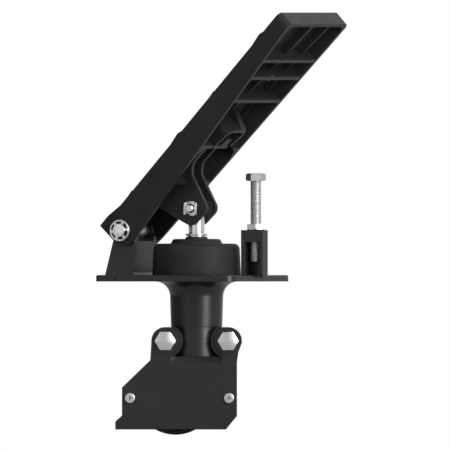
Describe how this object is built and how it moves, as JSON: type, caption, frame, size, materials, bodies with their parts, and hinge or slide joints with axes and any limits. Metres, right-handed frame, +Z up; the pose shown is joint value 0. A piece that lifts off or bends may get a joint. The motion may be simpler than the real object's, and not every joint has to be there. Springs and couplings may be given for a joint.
{
  "type": "accelerator pedal",
  "caption": "Floor-mounted accelerator pedal: a ribbed treadle works a sprung push rod through a rubber boot and turns a position sensor below the floor.",
  "frame": {"origin": "on the push rod's axis, at the underside of the floor plate", "axes": "+X towards the toe end of the treadle, +Y along the treadle's hinge pin, +Z up, square to the floor"},
  "size_m": [0.1747, 0.1126, 0.3166],
  "materials": {
    "cast_grey": "cast aluminium with a satin grey coat",
    "tread_grey": "cast aluminium with a dark satin coat",
    "zinc": "zinc-plated steel, satin",
    "bright_steel": "ground bright steel",
    "spring_steel": "oiled spring steel",
    "brass": "satin",
    "bush_plastic": "dark moulded, satin",
    "boot_rubber": "moulded, matt",
    "gasket": "matt",
    "cover_plastic": "moulded, matt",
    "board": "lacquered board",
    "magnet_grey": "nickel-plated"
  },
  "bodies": {
    "mount": {"floor_plate": "cast_grey", "hinge_bush_near": "bush_plastic", "hinge_bush_far": "bush_plastic", "stop_bolt": "zinc", "lock_nut": "zinc", "guide_plug": "cast_grey", "guide_bush_top": "bush_plastic", "guide_bush_bottom": "bush_plastic", "sensor_housing": "cast_grey", "housing_gasket": "gasket", "front_cover": "cast_grey", "cover_screws": "zinc", "clamp_bolts": "zinc", "shaft_bush_front": "brass", "shaft_bush_back": "brass", "sensor_cover": "cover_plastic", "socket_pins": "brass", "sensor_screws": "zinc", "circuit_board": "board"},
    "treadle": {"treadle": "tread_grey", "hinge_pin": "bright_steel", "push_clip_near": "zinc", "push_clip_far": "zinc"},
    "push_rod": {"push_rod": "bright_steel", "clevis_pin": "zinc", "clevis_clip": "zinc", "boot_ring": "zinc", "rod_keeper": "spring_steel", "spring_seat": "zinc", "drive_fork": "bush_plastic", "boot": "boot_rubber", "outer_spring": "spring_steel", "inner_spring": "spring_steel"},
    "drive_lever": {"drive_lever": "zinc", "drive_pin": "bright_steel", "sensor_shaft": "bright_steel", "magnet_carrier": "bush_plastic", "magnet": "magnet_grey"}
  },
  "joints": [
    {"name": "treadle_press", "type": "hinge", "parent": "mount", "child": "treadle", "pos_m": [-0.051, 0, 0.0383], "axis": [0, 1, 0], "range_deg": [0, 16], "stiffness_Nm_per_rad": 3, "springref_deg": -25.78},
    {"name": "rod_slide", "type": "slide", "parent": "mount", "child": "push_rod", "axis": [0, 0, -1], "range_m": [0, 0.01479], "deforming": ["boot", "outer_spring", "inner_spring"]},
    {"name": "sensor_turn", "type": "hinge", "parent": "mount", "child": "drive_lever", "pos_m": [-0.01118, -0.01374, -0.0842], "axis": [-0.4067, 0.9135, 0], "range_deg": [0, 48.48]}
  ],
  "couplings": [
    {"joint": "rod_slide", "follows": "treadle_press", "m_per_rad": 0.052922},
    {"joint": "sensor_turn", "follows": "treadle_press", "ratio": 3.0297}
  ]
}
